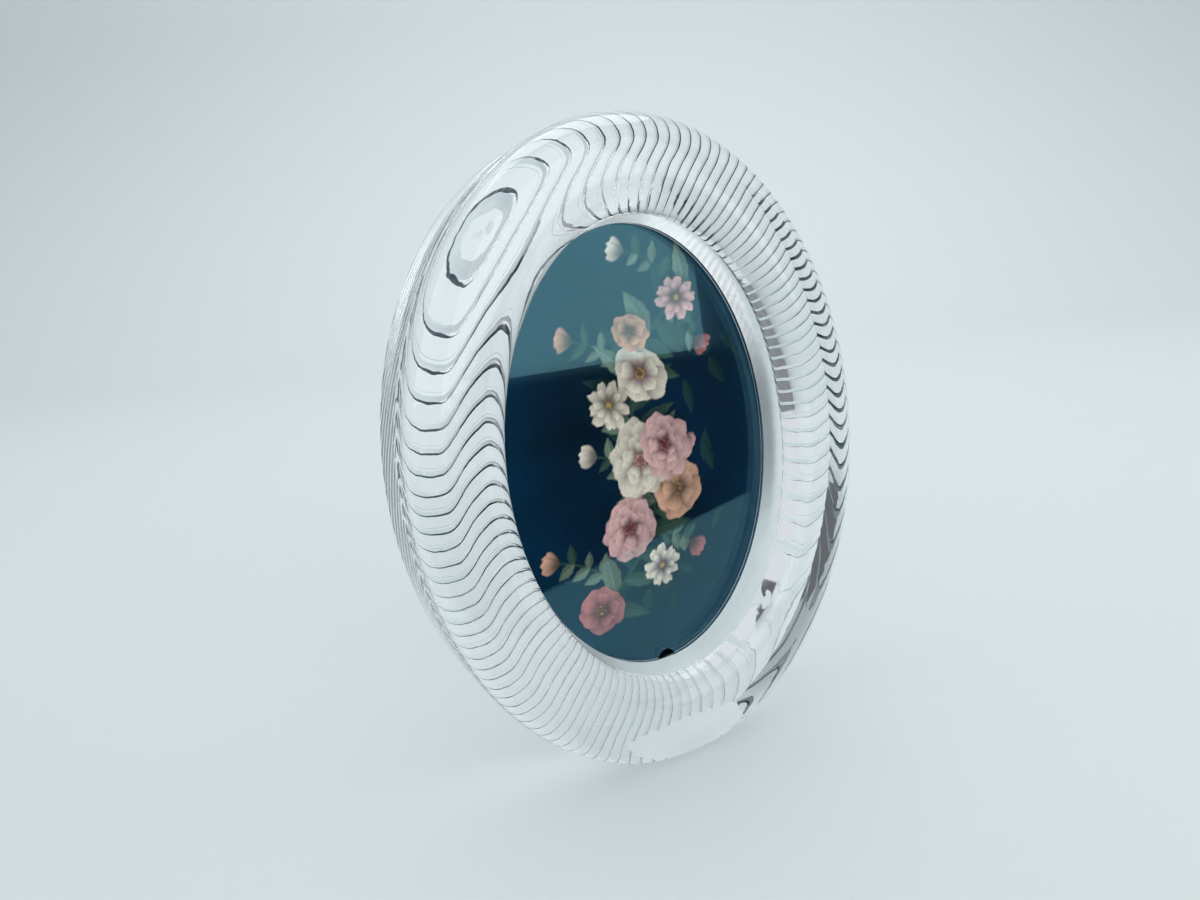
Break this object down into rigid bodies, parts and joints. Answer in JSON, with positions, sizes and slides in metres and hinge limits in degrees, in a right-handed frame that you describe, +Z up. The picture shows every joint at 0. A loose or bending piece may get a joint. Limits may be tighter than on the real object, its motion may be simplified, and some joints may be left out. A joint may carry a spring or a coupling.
{
  "type": "picture frame",
  "caption": "Oval table picture frame of thick clear crystal with a rounded rim, a grooved back and a front recess for a print under a loose clear pane.",
  "frame": {"origin": "bottom centre of the bounding box: on the table, in the plane of the ground flat under the rim", "axes": "+Z up, +X to the right seen from the front, front looks along -Y; the frame leans back by 5 degrees"},
  "size_m": [0.159, 0.0474, 0.2],
  "materials": {
    "crystal": "polished",
    "pane": "polished",
    "print": "satin",
    "card": "matte"
  },
  "bodies": {
    "frame": {"crystal_body": "crystal"},
    "card": {"backing_card": "card"},
    "print": {"picture_print": "print"},
    "pane": {"cover_pane": "pane"}
  },
  "joints": [
    {"name": "card_lift", "type": "slide", "parent": "frame", "child": "card", "axis": [0, -0.9962, 0.0872], "range_m": [0, 0.03]},
    {"name": "print_lift", "type": "slide", "parent": "card", "child": "print", "axis": [0, -0.9962, 0.0872], "range_m": [0, 0.03]},
    {"name": "pane_lift", "type": "slide", "parent": "print", "child": "pane", "axis": [0, -0.9962, 0.0872], "range_m": [0, 0.03]}
  ]
}
